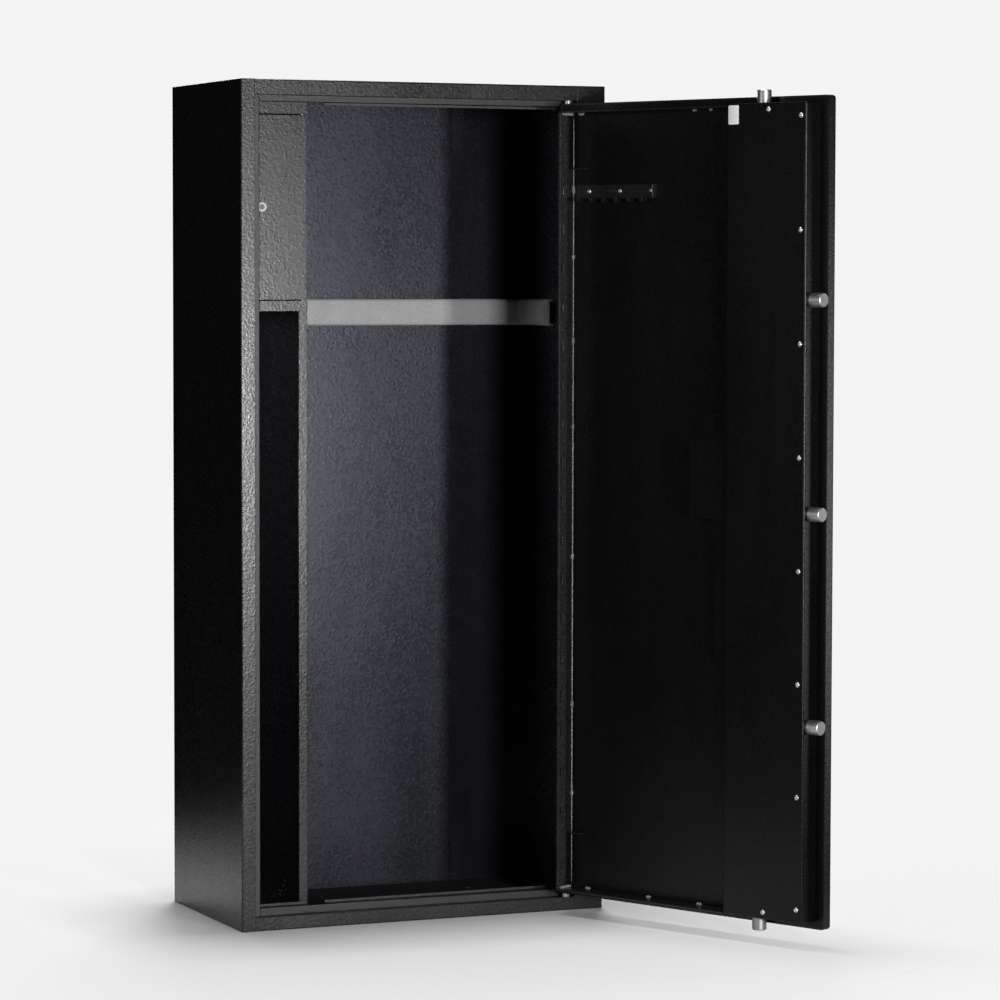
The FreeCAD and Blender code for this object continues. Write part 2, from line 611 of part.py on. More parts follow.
top_rack = toothed(rack_outline(2.5, -5, 2, 12, math.pi / 2, SIZES["gear_x"], SIZES["gear_z"]),
                   lift_front, lift_back)
low_rack = toothed(rack_outline(2.5, -5, 2, 12, -math.pi / 2, SIZES["gear_x"], SIZES["gear_z"]),
                   lift_front, lift_back)
door("top_lift_rod", fuse(
    top_rack,
    block(("gear_x + 18.5", "gear_x + 27"), (lift_front, lift_back),
          ("gear_z + 30", "gear_z + 76")),
    block(("rod_x - 6", "gear_x + 27"), (lift_front, lift_back),
          ("gear_z + 64", "gear_z + 76")),
    block(("rod_x - 6", "rod_x + 6"), (lift_front, lift_back), ("gear_z + 64", "top_tip - 80"))))
door("bottom_lift_rod", fuse(
    low_rack,
    block(("gear_x - 27", "gear_x - 18.5"), (lift_front, lift_back),
          ("gear_z - 76", "gear_z - 30")),
    block(("gear_x - 27", "rod_x + 6"), (lift_front, lift_back),
          ("gear_z - 76", "gear_z - 64")),
    block(("rod_x - 6", "rod_x + 6"), (lift_front, lift_back),
          ("bottom_tip + 80", "gear_z - 64"))))
door("top_bolt", soften(
    rod("z", "bolt_radius", "rod_x", "bolt_depth", ("top_tip - 80", "top_tip")), 1.2,
    lambda e, x, d, z: near(z, "top_tip"), chamfer=True))
door("bottom_bolt", soften(
    rod("z", "bolt_radius", "rod_x", "bolt_depth", ("bottom_tip", "bottom_tip + 80")), 1.2,
    lambda e, x, d, z: near(z, "bottom_tip"), chamfer=True))

# ---------------------------------------------------------------- handle
gear_at = ("gear_x", "gear_z")


def spindle(radius, low, high, at=gear_at):
    return rod("y", radius, at[0], (low, high), at[1])


door("spindle_bush", cut(spindle(12, "skin", "leaf + 1.5"), spindle(6.06, "0", "30")))
door("handle_rose", soften(cut(spindle(30, "-7", "0"), spindle(6.1, "-8", "1")), 3,
                           lambda e, x, d, z: near(d, "-7") and e.BoundBox.XLength > 40))
door("handle_spindle", fuse(spindle(6, "-14", rack_back), toothed(
    pinion_outline(2.5, 12, SIZES["gear_x"], SIZES["gear_z"]), rack_front, lift_back)))
arm = block(("gear_x - 11", "gear_x + 11"), ("-42", "-30"), ("gear_z - 118", "gear_z"))
grip = fuse(arm, spindle(17, "-42", "-7.5"))
grip = soften(grip, 8, lambda e, x, d, z: straight(e, "y") and near(z, "gear_z - 118"))
grip = soften(grip, 3, lambda e, x, d, z: near(d, "-42"))
door("handle_lever", cut(grip, spindle(6, "-14", "1")))

# ---------------------------------------------------------------- key lock
key_at = ("key_x", "gear_z")
case = cut(
    block(("-165", "-40"), ("leaf", "50"), case_z),
    block(("-163", "-42"), ("leaf - 1", "48"), within(case_z, 2)),
    block(("-166", "-162"), ("22", "33"), ("gear_z + 7.5", "gear_z + 28.5")))
door("lock_case", soften(case, 2, lambda e, x, d, z: near(d, "50")))
door("lock_duct", soften(cut(
    block(("-150", "-92"), ("leaf", "42"), (duct_z[0], f"{duct_z[1]} - 0.2")),
    block(("-148.5", "-93.5"), ("leaf - 1", "40.5"), (f"{duct_z[0]} + 1.5", f"{duct_z[1]} - 1.7"))),
    1.2, lambda e, x, d, z: near(d, "42")))
key_pinion = toothed(pinion_outline(1.5, 10, SIZES["key_x"], SIZES["gear_z"]),
                     rack_front, rack_back)
door("key_barrel", cut(
    fuse(spindle(8, "-3", rack_front, key_at), spindle(5, rack_front, rack_back, key_at),
         key_pinion),
    block(("key_x - 1.4", "key_x + 1.4"), ("-4", "6"), ("gear_z - 5", "gear_z + 5"))))
tongue_rack = toothed(rack_outline(1.5, -3, 7, 12, 0, SIZES["key_x"], SIZES["gear_z"]),
                      rack_front, rack_back)
door("lock_tongue", fuse(
    tongue_rack,
    block(("-147.5", "key_x - 10"), (rack_front, rack_back), ("gear_z + 9.5", "gear_z + 19.5"))))
door("tongue_guides",
     block(("-146", "-46"), ("leaf", "30"), ("gear_z + 19.8", "gear_z + 26")),
     block(("-146", "-122"), ("leaf", "30"), ("gear_z + 3", "gear_z + 9.2")))
cover_pin = ("key_x", "gear_z + 25")
escutcheon = soften(cut(
    block(("key_x - 16", "key_x + 16"), ("-3", "0"), ("gear_z - 22", "gear_z + 34")),
    spindle(8.15, "-5", "1", key_at)), 1, lambda e, x, d, z: near(d, "-3")
    and e.BoundBox.DiagonalLength > 25 and e.Curve.TypeId == "Part::GeomLine")
door("key_escutcheon", fuse(escutcheon, spindle(2.4, "-7", "-3", cover_pin),
                            spindle(4.5, "-8.5", "-7", cover_pin)))
drop = fuse(
    spindle(11, "-6.6", "-3.4", key_at),
    block(("key_x - 7", "key_x + 7"), ("-6.6", "-3.4"), ("gear_z", "gear_z + 25")),
    spindle(7, "-6.6", "-3.4", cover_pin))
door("keyhole_cover", cut(drop, spindle(2.46, "-8", "-2", cover_pin)))

# ---------------------------------------------------------------- key hook rail
hook_low = 1297
hooks = []
for n in range(6):
    centre = 80.5 + n * 29.5
    hooks.append(block((centre - 4, centre + 4), ("leaf + 11", "leaf + 12.5"),
                       (hook_low - 8, hook_low)))
    hooks.append(block((centre - 4, centre + 4), ("leaf + 12.5", "leaf + 20"),
                       (hook_low - 8, hook_low - 6.5)))
    hooks.append(block((centre - 4, centre + 4), ("leaf + 18.5", "leaf + 20"),
                       (hook_low - 6.5, hook_low)))
rail_screws = [(72, 1309), (144, 1309), (216, 1309)]
door("key_hook_rail", cut(fuse(
    block((60, 247), ("leaf", "leaf + 1.5"), (hook_low - 2, 1320)),
    block((60, 247), ("leaf + 1.5", "leaf + 12.5"), (hook_low - 2, hook_low)),
    block((60, 61.5), ("leaf + 1.5", "leaf + 12.5"), (hook_low, 1320)),
    *hooks), *[rod("y", "2.1", x, ("leaf - 2", "leaf + 3"), z) for x, z in rail_screws]))
door("hook_rail_screws", *[soften(
    rod("y", "4", x, ("leaf + 1.5", "leaf + 3.6"), z), 1.4,
    lambda e, ex, d, ez: near(d, "leaf + 3.6")) for x, z in rail_screws])

# ---------------------------------------------------------------- check and export
doc.recompute()
problems = []
for obj in doc.Objects:
    state = [word for word in obj.State if word in ("Invalid", "Error")]
    shape = getattr(obj, "Shape", None)
    if state or (shape is not None and (shape.isNull() or not shape.isValid())):
        problems.append(f"{obj.Name} {obj.Label} {state}")
if problems:
    raise RuntimeError("; ".join(problems[:20]))
for obj in nodes:
    obj.Shape.exportStep(f"parts/{obj.Label}.step")
    box = obj.Shape.BoundBox
    print(f"{obj.Label:24s} solids {len(obj.Shape.Solids):2d} volume {obj.Shape.Volume:12.1f}"
          f"  x {box.XMin:8.1f} {box.XMax:8.1f}  y {box.YMin:8.1f} {box.YMax:8.1f}"
          f"  z {box.ZMin:8.1f} {box.ZMax:8.1f}")
print(len(nodes), "nodes")
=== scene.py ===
"""The looks of a steel gun safe with its door open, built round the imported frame. Metres, +Z up."""
import json
import math
import random

import bmesh
import bpy
from mathutils import Matrix, Vector, noise


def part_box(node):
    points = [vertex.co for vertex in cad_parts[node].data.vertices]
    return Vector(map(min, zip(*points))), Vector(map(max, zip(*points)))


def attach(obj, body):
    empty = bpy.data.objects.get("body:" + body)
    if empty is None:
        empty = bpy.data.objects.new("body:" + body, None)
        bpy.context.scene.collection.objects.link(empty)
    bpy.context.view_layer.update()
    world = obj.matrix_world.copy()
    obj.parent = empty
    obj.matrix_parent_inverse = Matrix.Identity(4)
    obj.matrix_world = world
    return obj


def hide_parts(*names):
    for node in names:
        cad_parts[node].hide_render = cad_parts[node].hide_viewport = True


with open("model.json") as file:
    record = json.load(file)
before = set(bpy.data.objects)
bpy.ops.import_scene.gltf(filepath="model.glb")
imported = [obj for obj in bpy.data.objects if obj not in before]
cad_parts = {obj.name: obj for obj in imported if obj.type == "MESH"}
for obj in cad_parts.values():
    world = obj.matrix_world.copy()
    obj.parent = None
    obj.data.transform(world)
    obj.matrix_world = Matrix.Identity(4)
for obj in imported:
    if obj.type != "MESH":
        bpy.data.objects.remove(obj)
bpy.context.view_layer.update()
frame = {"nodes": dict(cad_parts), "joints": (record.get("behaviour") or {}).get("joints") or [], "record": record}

draw = random.Random(7)
nodes = frame["nodes"]
joints = {joint["name"]: joint for joint in frame["joints"]}

# ---------------------------------------------------------------- places read from the frame
hinge = Vector(joints["door_swing"]["pos_m"])
across = Vector(joints["side_bolt_slide"]["axis"]).normalized()   # along the door, to its hinge
inward = Vector(joints["handle_turn"]["axis"]).normalized()       # off the door's inner face
up = Vector((0, 0, 1))
HINGE_X, HINGE_DEPTH = 0.280, 0.008   # where the hinge is on the shut door


def on_door(x, depth, z):
    """A point given on the shut door, x to the hinge side and depth into the cabinet."""
    at = Vector((hinge.x, hinge.y, 0)) + across * (x - HINGE_X) + inward * (depth - HINGE_DEPTH)
    return Vector((at.x, at.y, z))


# ---------------------------------------------------------------- materials
class Paint:
    """A material under construction: a Principled shader and the nodes that feed it."""

    def __init__(self, name):
        self.material = bpy.data.materials.new(name)
        self.material.use_nodes = True
        self.tree = self.material.node_tree
        self.shader = self.tree.nodes["Principled BSDF"]
        self.place = self.add("ShaderNodeTexCoord").outputs["Object"]

    def add(self, kind, **settings):
        made = self.tree.nodes.new(kind)
        for key, value in settings.items():
            if key in made.inputs:
                self.feed(made.inputs[key], value)
            else:
                setattr(made, key, value)
        return made

    def feed(self, socket, value):
        """Join a pattern to a socket, or set a constant on it."""
        if isinstance(value, bpy.types.NodeSocket):
            self.tree.links.new(value, socket)
        else:
            socket.default_value = value

    def set(self, **values):
        """Feed the shader's own sockets, named with _ for each space."""
        for key, value in values.items():
            self.feed(self.shader.inputs[key.replace("_", " ")], value)

    def grain(self, scale, detail, rough, stretch=(1, 1, 1), seed=0.0):
        """A cloudy pattern between nought and one; each seed starts it at another place."""
        where = self.add("ShaderNodeMapping", Vector=self.place, Scale=stretch,
                         Location=(seed, seed * 0.7, -seed))
        made = self.add("ShaderNodeTexNoise", Vector=where.outputs[0])
        made.inputs["Scale"].default_value = scale
        made.inputs["Detail"].default_value = detail
        made.inputs["Roughness"].default_value = rough
        return made.outputs["Fac"]

    def cells(self, scale):
        """A pattern of soft pebbles."""
        made = self.add("ShaderNodeTexVoronoi", Vector=self.place, feature="SMOOTH_F1")
        made.inputs["Scale"].default_value = scale
        return made.outputs["Distance"]

    def span(self, source, low, high, to_low, to_high):
        """Map a range of a pattern onto another, held at both ends."""
        made = self.add("ShaderNodeMapRange")
        self.feed(made.inputs["Value"], source)
        for socket, value in zip(list(made.inputs)[1:5], (low, high, to_low, to_high)):
            socket.default_value = value
        return made.outputs["Result"]

    def blend(self, amount, first, second):
        """Mix two colours by a pattern."""
        made = self.add("ShaderNodeMix", data_type="RGBA")
        self.feed(made.inputs["Factor"], amount)
        for socket, colour in ((made.inputs[6], first), (made.inputs[7], second)):
            self.feed(socket, colour if isinstance(colour, bpy.types.NodeSocket) else (*colour, 1))
        return made.outputs[2]

    def sum(self, first, second):
        return self.maths("ADD", first, second)

    def times(self, first, second):
        return self.maths("MULTIPLY", first, second)

    def maths(self, operation, first, second):
        made = self.add("ShaderNodeMath", operation=operation)
        self.feed(made.inputs[0], first)
        self.feed(made.inputs[1], second)
        return made.outputs[0]

    def along(self, direction):
        """How far a point lies along a direction."""
        made = self.add("ShaderNodeVectorMath", operation="DOT_PRODUCT")
        self.feed(made.inputs[0], self.place)
        made.inputs[1].default_value = direction
        return made.outputs["Value"]

    def bump(self, height, strength, distance):
        """Turn a pattern into relief of a given depth."""
        made = self.add("ShaderNodeBump")
        self.feed(made.inputs["Height"], height)
        made.inputs["Strength"].default_value = strength
        made.inputs["Distance"].default_value = distance
        return made.outputs["Normal"]


def powder_coat(name, dark, light, rough, depth, specular=0.5, tint=(1, 1, 1)):
    """Black textured powder coat: a leathery grain, glossy on its high spots, with faint smears."""
    paint = Paint(name)
    hide = paint.grain(185, 3, 0.62)
    fine = paint.grain(620, 2, 0.5, seed=3.0)
    pebble = paint.cells(260)
    smear = paint.grain(7, 4, 0.6, stretch=(1, 1, 0.25), seed=8.0)
    rubbed = paint.grain(26, 5, 0.7, seed=5.0)
    speck = paint.sum(paint.span(hide, 0.35, 0.7, 0, 1), paint.span(rubbed, 0.3, 0.8, 0, 0.6))
    paint.set(Base_Color=paint.blend(paint.span(speck, 0.1, 1.3, 0, 1), dark, light))
    gloss = paint.sum(paint.span(smear, 0.3, 0.75, rough - 0.03, rough + 0.05),
                      paint.span(hide, 0.35, 0.65, 0.07, -0.03))
    paint.set(Roughness=gloss)
    height = paint.sum(paint.sum(hide, paint.times(pebble, 0.7)), paint.times(fine, 0.3))
    paint.set(Normal=paint.bump(height, 0.6, depth))
    paint.shader.inputs["Specular IOR Level"].default_value = specular
    paint.shader.inputs["Specular Tint"].default_value = (*tint, 1)
    return paint.material


def turned_steel(name, colour, rough, direction):
    """Lathe-turned steel: fine rings along the bar and a slightly uneven satin gloss."""
    paint = Paint(name)
    lathe = paint.add("ShaderNodeTexNoise", noise_dimensions="1D", W=paint.along(direction))
    lathe.inputs["Scale"].default_value = 900
    lathe.inputs["Detail"].default_value = 2
    rings = lathe.outputs["Fac"]
    stain = paint.grain(45, 3, 0.6, seed=2.0)
    deep = tuple(0.72 * c for c in colour)
    paint.set(Base_Color=paint.blend(paint.span(stain, 0.3, 0.75, 0, 1), colour, deep))
    paint.set(Roughness=paint.sum(paint.span(rings, 0.3, 0.7, rough - 0.05, rough + 0.08),
                                  paint.span(stain, 0.4, 0.8, 0, 0.08)))
    paint.set(Normal=paint.bump(rings, 0.25, 0.00006))
    paint.shader.inputs["Metallic"].default_value = 1.0
    return paint.material


def plated(name, colour, rough, speckle=300):
    """Plated metal with a faint orange peel and dull spots."""
    paint = Paint(name)
    spots = paint.grain(speckle, 3, 0.6, seed=1.0)
    haze = paint.grain(30, 3, 0.5, seed=4.0)
    paint.set(Base_Color=paint.blend(paint.span(spots, 0.45, 0.8, 0, 1), colour,
                                     tuple(0.6 * c for c in colour)))
    paint.set(Roughness=paint.sum(paint.span(haze, 0.3, 0.7, rough - 0.04, rough + 0.06),
                                  paint.span(spots, 0.5, 0.9, 0, 0.1)))
    paint.set(Normal=paint.bump(spots, 0.12, 0.0001))
    paint.shader.inputs["Metallic"].default_value = 1.0
    return paint.material


def felt(name, dark, light):
    """Dense grey felt: tangled short fibres, a soft sheen and faint pressed marks."""
    paint = Paint(name)
    fibre = paint.grain(1500, 4, 0.7, stretch=(1, 1, 0.6))
    clump = paint.grain(240, 3, 0.6, seed=2.0)
    pressed = paint.grain(22, 3, 0.5, stretch=(1, 1, 0.2), seed=6.0)
    mixed = paint.sum(paint.span(fibre, 0.3, 0.7, 0, 0.7), paint.span(clump, 0.35, 0.7, 0, 0.4))
    mixed = paint.sum(mixed, paint.span(pressed, 0.3, 0.7, -0.15, 0.15))
    paint.set(Base_Color=paint.blend(mixed, dark, light))
    paint.set(Normal=paint.bump(paint.sum(fibre, paint.times(clump, 1.5)), 0.6, 0.0006))
    paint.shader.inputs["Roughness"].default_value = 0.95
    paint.shader.inputs["Sheen Weight"].default_value = 0.25
    paint.shader.inputs["Sheen Roughness"].default_value = 0.5
    return paint.material


def plain_surface(name, first, second, rough, scale, depth):
    """Moulded rubber, paper and other quiet surfaces: mottled colour and a fine grain."""
    paint = Paint(name)
    mottle = paint.grain(scale, 3, 0.6)
    wide = paint.grain(scale / 14, 3, 0.5, seed=3.0)
    paint.set(Base_Color=paint.blend(paint.span(wide, 0.3, 0.7, 0, 1), first, second))
    paint.set(Roughness=paint.span(mottle, 0.3, 0.7, rough - 0.06, rough + 0.06))
    paint.set(Normal=paint.bump(mottle, 0.3, depth))
    return paint.material


COAT = powder_coat("black powder coat", (0.0026, 0.0027, 0.0031), (0.012, 0.0126, 0.0144),
                   rough=0.25, depth=0.00032)
SATIN_COAT = powder_coat("satin powder coat", (0.0012, 0.0013, 0.0016), (0.0036, 0.0038, 0.0046),
                         rough=0.27, depth=0.0002, specular=0.28)
INNER_COAT = powder_coat("inside powder coat", (0.0026, 0.0028, 0.0036), (0.011, 0.0116, 0.0146),
                         rough=0.25, depth=0.00030, tint=(0.80, 0.83, 1.0))
# The doorway lips take a darker, rougher copy of the black coat: painted shade for the recess behind the flange,
# where shade falls.
SHADED_LIP_COAT = powder_coat("doorway lip coat, darkened as painted shade", (0.003, 0.0031, 0.0036), (0.007, 0.0073, 0.0085),
                       rough=0.40, depth=0.0004)
RAIL_COAT = powder_coat("hook rail coat", (0.004, 0.0041, 0.0046), (0.012, 0.0123, 0.0135),
                        rough=0.30, depth=0.0002)
# The hinge-side bar takes a copy of the black coat several times lighter: painted light, standing in for the light
# its face catches.
LIT_HINGE_BAR_COAT = powder_coat("hinge bar coat, lightened as painted light", (0.007, 0.0073, 0.0082), (0.030, 0.031, 0.034),
                       rough=0.24, depth=0.0003)
# The weld beads' coat is grey, far lighter than the black coat they are painted with: painted highlight for the
# glints on the beads.
WELD = powder_coat("weld paint with painted highlight", (0.12, 0.122, 0.126), (0.30, 0.303, 0.31),
                   rough=0.16, depth=0.0001)
# The side bolts' steel is far brighter than the other bolt steel: painted light for the highlights the bolts
# catch.
LIT_SIDE_BOLT_STEEL = turned_steel("turned steel across, brightened as painted light", (0.74, 0.74, 0.73), 0.44, across)
ROD_BOLT_STEEL = turned_steel("turned steel upright", (0.40, 0.40, 0.39), 0.42, up)
FLAT_STEEL = plated("flat bar steel", (0.42, 0.42, 0.41), 0.38, speckle=160)
ZINC = plated("bright zinc", (0.82, 0.83, 0.84), 0.42)
CHROME = plated("lock chrome", (0.88, 0.87, 0.85), 0.30)
SATIN_CHROME = plated("satin chrome", (0.66, 0.66, 0.67), 0.27)
BRONZE = plated("bearing bronze", (0.50, 0.33, 0.14), 0.35)
CYLINDER = plated("lock cylinder face", (0.45, 0.44, 0.42), 0.52)
KEY_PLUG = plated("lock plug face", (0.16, 0.155, 0.15), 0.50)
FELT = felt("grey felt", (0.34, 0.34, 0.345), (0.57, 0.57, 0.572))
RUBBER = plain_surface("black rubber", (0.010, 0.010, 0.011), (0.022, 0.022, 0.023),
                       rough=0.72, scale=900, depth=0.0003)
PAPER = plain_surface("white sticker", (0.88, 0.88, 0.86), (0.94, 0.94, 0.93),
                      rough=0.55, scale=700, depth=0.00008)

BY_SLOT = {"powder_coat": COAT, "bolt_steel": FLAT_STEEL, "screw_zinc": ZINC, "lock_chrome": CHROME,
           "handle_chrome": SATIN_CHROME, "bronze": BRONZE, "grey_felt": FELT, "black_mat": RUBBER,
           "label_white": PAPER}
BY_NODE = {"back_panel": INNER_COAT, "key_hook_rail": RAIL_COAT, "hinge_side_bar": LIT_HINGE_BAR_COAT,
           "frame_left": SHADED_LIP_COAT, "frame_right": SHADED_LIP_COAT, "frame_top": SHADED_LIP_COAT,
           "frame_bottom": SHADED_LIP_COAT, "lock_cover": SATIN_COAT, "door_inner_sheet": SATIN_COAT,
           "lock_case": SATIN_COAT, "lock_duct": SATIN_COAT, "side_bolts": LIT_SIDE_BOLT_STEEL,
           "top_bolt": ROD_BOLT_STEEL, "bottom_bolt": ROD_BOLT_STEEL, "cam_lock_case": CYLINDER,
           "cam_lock_plug": KEY_PLUG}
SLOT_OF = {part["node"]: part["material_slot"] for part in frame["record"]["subparts"]}


def dress(obj, material):
    """Give a piece one material in place of what it has."""
    obj.data.materials.clear()
    obj.data.materials.append(material)


for name, obj in nodes.items():
    dress(obj, BY_NODE.get(name, BY_SLOT[SLOT_OF[name]]))

# Sheet metal has small rounded edges where it is cut and folded.
ROUNDED = {
    0.0008: ("side_wall_left", "side_wall_right", "top_wall", "bottom_wall", "hinge_side_bar"),
    0.0006: ("door_rims", "door_rim_hinge_side"),
    0.0005: ("back_panel", "frame_left", "frame_right", "frame_top", "frame_bottom",
             "hinge_pocket_plates", "hinge_brackets", "key_hook_rail"),
    0.0004: ("keyhole_cover",),
    0.0003: ("vertical_divider", "inner_box_header", "inner_box_sill", "inner_box_stile",
             "inner_box_side", "inner_box_floor", "inner_box_door", "lock_duct")}
for width, names in ROUNDED.items():
    for name in names:
        join = nodes[name].modifiers.new("join", "WELD")
        join.merge_threshold = 0.00001
        edge = nodes[name].modifiers.new("edge", "BEVEL")
        edge.width = width
        edge.segments = 2
        edge.limit_method = "ANGLE"
        edge.angle_limit = math.radians(40)

# ---------------------------------------------------------------- pieces made here


def finished(name, bm, material, slot, body, *replaced):
    """Turn a mesh under construction into a named piece that rides on a body."""
    bmesh.ops.remove_doubles(bm, verts=bm.verts, dist=1e-6)
    bmesh.ops.recalc_face_normals(bm, faces=bm.faces)
    mesh = bpy.data.meshes.new(name)
    bm.to_mesh(mesh)
    bm.free()
    obj = bpy.data.objects.new(name, mesh)
    bpy.context.scene.collection.objects.link(obj)
    mesh.shade_smooth()
    mesh.set_sharp_from_angle(angle=math.radians(38))
    dress(obj, material)
    if replaced:
        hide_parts(*replaced)
    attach(obj, body)
    return obj


def skin_rings(bm, rings):
    """Join rings of points, each with as many points, into a closed skin."""
    rows = [[bm.verts.new(point) for point in ring] for ring in rings]
    for first, second in zip(rows, rows[1:]):
        for n in range(len(first)):
            m = (n + 1) % len(first)
            bm.faces.new((first[n], first[m], second[m], second[n]))
    bm.faces.new(rows[0])
    bm.faces.new(list(reversed(rows[-1])))


# The padded barrel rest: felt drawn over foam round a steel strip, on two walls.
REST_THICK, ROUND, CROWN = 0.020, 0.007, 0.0025   # the pad, its rounded edges and its swell
STRIP_THICK, LIP, SLACK = 0.006, 0.004, 0.0004    # the strip, the felt past it and their gap
OFF_WALL = 0.0002                                 # the pad's back, just off the wall
RING_STEP, END_PULL, END_LENGTH = 0.004, 0.30, 0.006
SHRINK, WAVE, RUFFLE = 0.0005, 0.0006, 0.0003     # how far the felt's face sinks and wavers
rest_low, rest_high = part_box("barrel_rest_pad")


def pad_section(squeeze):
    """(off the wall, height) round the pad's section, with the recess for its strip."""
    low, high = rest_low[2], rest_high[2]
    front = REST_THICK * squeeze - CROWN
    middle, half = (low + high) / 2, (high - low) / 2
    quarter = [math.pi / 2 * n / 6 for n in range(7)]
    face = [(front - ROUND + ROUND * math.sin(turn), low + ROUND - ROUND * math.cos(turn))
            for turn in quarter]
    for n in range(1, 14):
        z = low + ROUND + (high - low - 2 * ROUND) * n / 14
        face.append((front + CROWN * (1 - ((z - middle) / (half - ROUND)) ** 2), z))
    face += [(front - ROUND + ROUND * math.cos(turn), high - ROUND + ROUND * math.sin(turn))
             for turn in quarter]
    recess = STRIP_THICK + SLACK
    return ([(OFF_WALL, low)] + face + [(OFF_WALL, high), (OFF_WALL, high - LIP + SLACK),
            (recess, high - LIP + SLACK), (recess, low + LIP - SLACK),
            (OFF_WALL, low + LIP - SLACK)])


def padding(bm, start, run, length, off_wall):
    """One length of the rest, pulled in a little at its ends and faintly uneven between."""
    steps = max(8, int(length / RING_STEP))
    rings = []
    for n in range(steps + 1):
        at = length * n / steps
        from_end = min(at, length - at)
        squeeze = 1.0 - END_PULL * max(0.0, 1 - from_end / END_LENGTH) ** 2
        ring = []
        for off, z in pad_section(squeeze):
            point = start + run * at + off_wall * off + up * z
            if off > STRIP_THICK + 0.002:
                sag = WAVE * noise.noise(point * 28) + RUFFLE * noise.noise(point * 120)
                point -= off_wall * (SHRINK + abs(sag))
            ring.append(point)
        rings.append(ring)
    skin_rings(bm, rings)


bm = bmesh.new()
padding(bm, Vector((rest_low[0], rest_high[1], 0)), Vector((1, 0, 0)),
        rest_high[0] - rest_low[0], Vector((0, -1, 0)))
padding(bm, Vector((rest_high[0], rest_low[1], 0)), Vector((0, 1, 0)),
        rest_high[1] - rest_low[1] - REST_THICK, Vector((-1, 0, 0)))
rest_padding = finished("barrel_rest_padding", bm, FELT, "grey_felt", "cabinet", "barrel_rest_pad")


# The ribbed rubber mat on the floor.
RIB_PITCH, RIB_HIGH, MAT_EDGE, MAT_CHAMFER = 0.006, 0.0016, 0.004, 0.0006
# One groove and the rib after it, as (across, down).
GROOVE = ((0.0006, 0), (0.0014, RIB_HIGH), (0.0026, RIB_HIGH), (0.0034, 0), (0.0046, 0))
mat_low, mat_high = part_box("floor_mat")
ribs = int((mat_high[0] - mat_low[0] - MAT_EDGE) / RIB_PITCH)
margin = (mat_high[0] - mat_low[0] - ribs * RIB_PITCH) / 2
outline = [(mat_low[0], mat_low[2]), (mat_low[0], mat_high[2] - MAT_CHAMFER),
           (mat_low[0] + MAT_CHAMFER, mat_high[2])]
for n in range(ribs):
    x = mat_low[0] + margin + n * RIB_PITCH
    outline += [(x + along, mat_high[2] - drop) for along, drop in GROOVE]
outline += [(mat_high[0] - MAT_CHAMFER, mat_high[2]), (mat_high[0], mat_high[2] - MAT_CHAMFER),
            (mat_high[0], mat_low[2])]
bm = bmesh.new()
skin_rings(bm, [[Vector((x, y, z)) for x, z in outline] for y in (mat_low[1], mat_high[1])])
floor_matting = finished("ribbed_floor_mat", bm, RUBBER, "black_mat", "cabinet", "floor_mat")


def cut_away(obj, cutter):
    """Take a cutter's shape out of a piece for good."""
    trim = obj.modifiers.new("trim", "BOOLEAN")
    trim.operation, trim.object, trim.solver = "DIFFERENCE", cutter, "EXACT"
    bpy.context.view_layer.update()
    done = bpy.data.meshes.new_from_object(obj.evaluated_get(bpy.context.evaluated_depsgraph_get()))
    obj.modifiers.remove(trim)
    old, obj.data = obj.data, done
    bpy.data.meshes.remove(old)
    bpy.data.objects.remove(cutter)


def loose(name, bm):
    """A mesh under construction as an object of no piece, to cut with or to copy from."""
    mesh = bpy.data.meshes.new(name)
    bmesh.ops.recalc_face_normals(bm, faces=bm.faces)
    bm.to_mesh(mesh)
    bm.free()
    obj = bpy.data.objects.new(name, mesh)
    bpy.context.scene.collection.objects.link(obj)
    return obj


# The mat's holes over the four floor anchors.
ANCHOR_X, ANCHOR_Y, MAT_HOLE = 0.200, (-0.075, 0.085), 0.009
bm = bmesh.new()
for x in (-ANCHOR_X, ANCHOR_X):
    for y in ANCHOR_Y:
        bmesh.ops.create_cone(bm, cap_ends=True, segments=40, radius1=MAT_HOLE, radius2=MAT_HOLE,
                              depth=0.03, matrix=Matrix.Translation((x, y, mat_low[2])))
cut_away(floor_matting, loose("mat_cutter", bm))


# Pan-head screws with a cross recess.
def screw_mesh(radius, height, shank, length):
    """A screw along +Z with its seat at nought, and a cross cut down into its dome."""
    bm = bmesh.new()
    dome = [(radius, 0.0), (radius, 0.30 * height), (0.95 * radius, 0.52 * height),
            (0.82 * radius, 0.76 * height), (0.60 * radius, 0.92 * height),
            (0.34 * radius, 0.985 * height), (0.12 * radius, height)]
    profile = [(0.0006, -length), (shank, -length + 0.0008), (shank, 0.0)] + dome
    turns = [math.tau * n / 40 for n in range(40)]
    skin_rings(bm, [[Vector((r * math.cos(turn), r * math.sin(turn), z)) for turn in turns]
                    for r, z in profile])
    screw = loose("screw", bm)
    bm = bmesh.new()
    wide, narrow, deep = 0.55 * radius, 0.13 * radius, 0.70 * height
    rings = []
    bottom, top = (height - deep, 0.5 * wide, 0.7 * narrow), (height + 0.0005, wide, narrow)
    for level, tip, waist in (bottom, top):
        ring = []
        for i, j in ((1, 1), (1, -1), (-1, -1), (-1, 1)):
            corner = [(waist * i, tip * j), (waist * i, waist * j), (tip * i, waist * j)]
            ring += [Vector((x, y, level)) for x, y in (corner if i == j else corner[::-1])]
        rings.append(ring)
    skin_rings(bm, rings)
    cut_away(screw, loose("recess", bm))
    mesh = screw.data
    bpy.data.objects.remove(screw)
    return mesh


